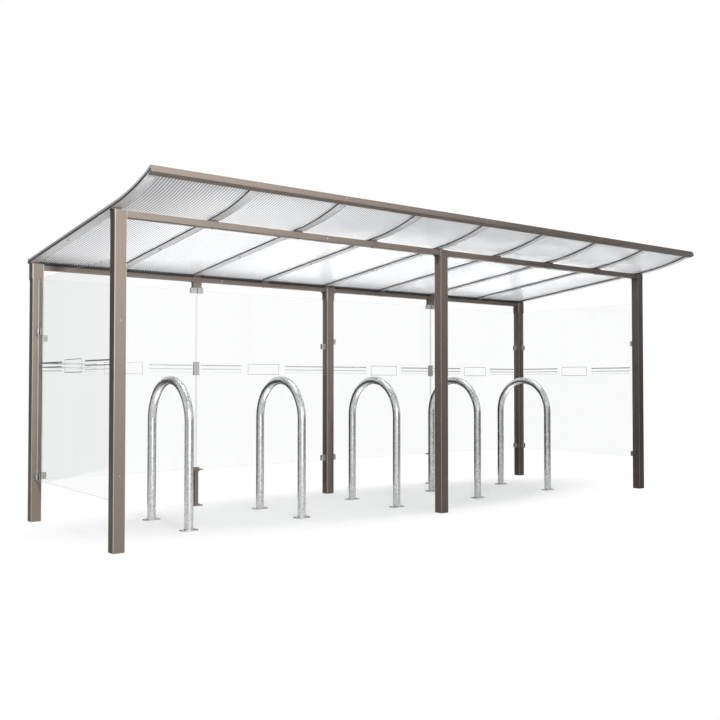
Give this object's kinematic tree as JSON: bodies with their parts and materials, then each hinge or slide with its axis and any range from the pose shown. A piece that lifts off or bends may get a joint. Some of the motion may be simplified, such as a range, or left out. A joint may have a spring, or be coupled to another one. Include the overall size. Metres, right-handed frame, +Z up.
{
  "type": "bike shelter",
  "caption": "Open-fronted bike shelter: square posts, curved translucent roof on glazing bars, glass back and ends, and tube hoops for locking bicycles.",
  "frame": {"origin": "centre of the bounding box, on the ground", "axes": "+X along the shelter to the right, +Y from the open front to the glass back, +Z up"},
  "size_m": [5.613, 2.2506, 2.332],
  "materials": {
    "powder_coat": "taupe-brown powder coat, satin",
    "bar_aluminium": "mill aluminium extrusion, satin",
    "multiwall_sheet": "translucent multiwall polycarbonate, glossy underside",
    "clear_glass": "clear toughened glass with two thin grey lines",
    "clamp_metal": "cast aluminium, satin",
    "galvanised_steel": "hot-dip galvanised steel with spangle",
    "black_rubber": "black EPDM rubber",
    "dark_seat": "dark brown powder coat, shaded"
  },
  "bodies": {
    "root": {"beam_gussets": "powder_coat", "bike_hoop_1": "galvanised_steel", "bike_hoop_2": "galvanised_steel", "bike_hoop_3": "galvanised_steel", "bike_hoop_4": "galvanised_steel", "bike_hoop_5": "galvanised_steel", "front_bar_seats": "dark_seat", "front_beam_left": "powder_coat", "front_beam_right": "powder_coat", "front_post_heads": "powder_coat", "front_post_left": "powder_coat", "front_post_middle": "powder_coat", "front_post_right": "powder_coat", "glass_clamp_pads": "black_rubber", "glass_hangers": "powder_coat", "glass_joint_plates": "clamp_metal", "glass_stub_posts": "powder_coat", "glass_top_jaws": "clamp_metal", "rear_bar_seats": "dark_seat", "rear_beam_left": "powder_coat", "rear_beam_right": "powder_coat", "rear_glass_1": "clear_glass", "rear_glass_2": "clear_glass", "rear_glass_3": "clear_glass", "rear_glass_4": "clear_glass", "rear_glass_clamps": "clamp_metal", "rear_post_heads": "powder_coat", "rear_post_left": "powder_coat", "rear_post_middle": "powder_coat", "rear_post_right": "powder_coat", "roof_bar_middle": "bar_aluminium", "roof_bars_ends": "bar_aluminium", "roof_bars_left_bay": "bar_aluminium", "roof_bars_right_bay": "bar_aluminium", "roof_end_caps": "powder_coat", "roof_end_gaskets": "black_rubber", "roof_fascia_left": "powder_coat", "roof_fascia_right": "powder_coat", "roof_rear_trim": "powder_coat", "roof_sheet_1": "multiwall_sheet", "roof_sheet_2": "multiwall_sheet", "roof_sheet_3": "multiwall_sheet", "roof_sheet_4": "multiwall_sheet", "roof_sheet_5": "multiwall_sheet", "roof_sheet_6": "multiwall_sheet", "roof_sheet_7": "multiwall_sheet", "roof_sheet_8": "multiwall_sheet", "side_glass_clamps": "clamp_metal", "side_glass_left": "clear_glass", "side_glass_right": "clear_glass"}
  },
  "joints": []
}
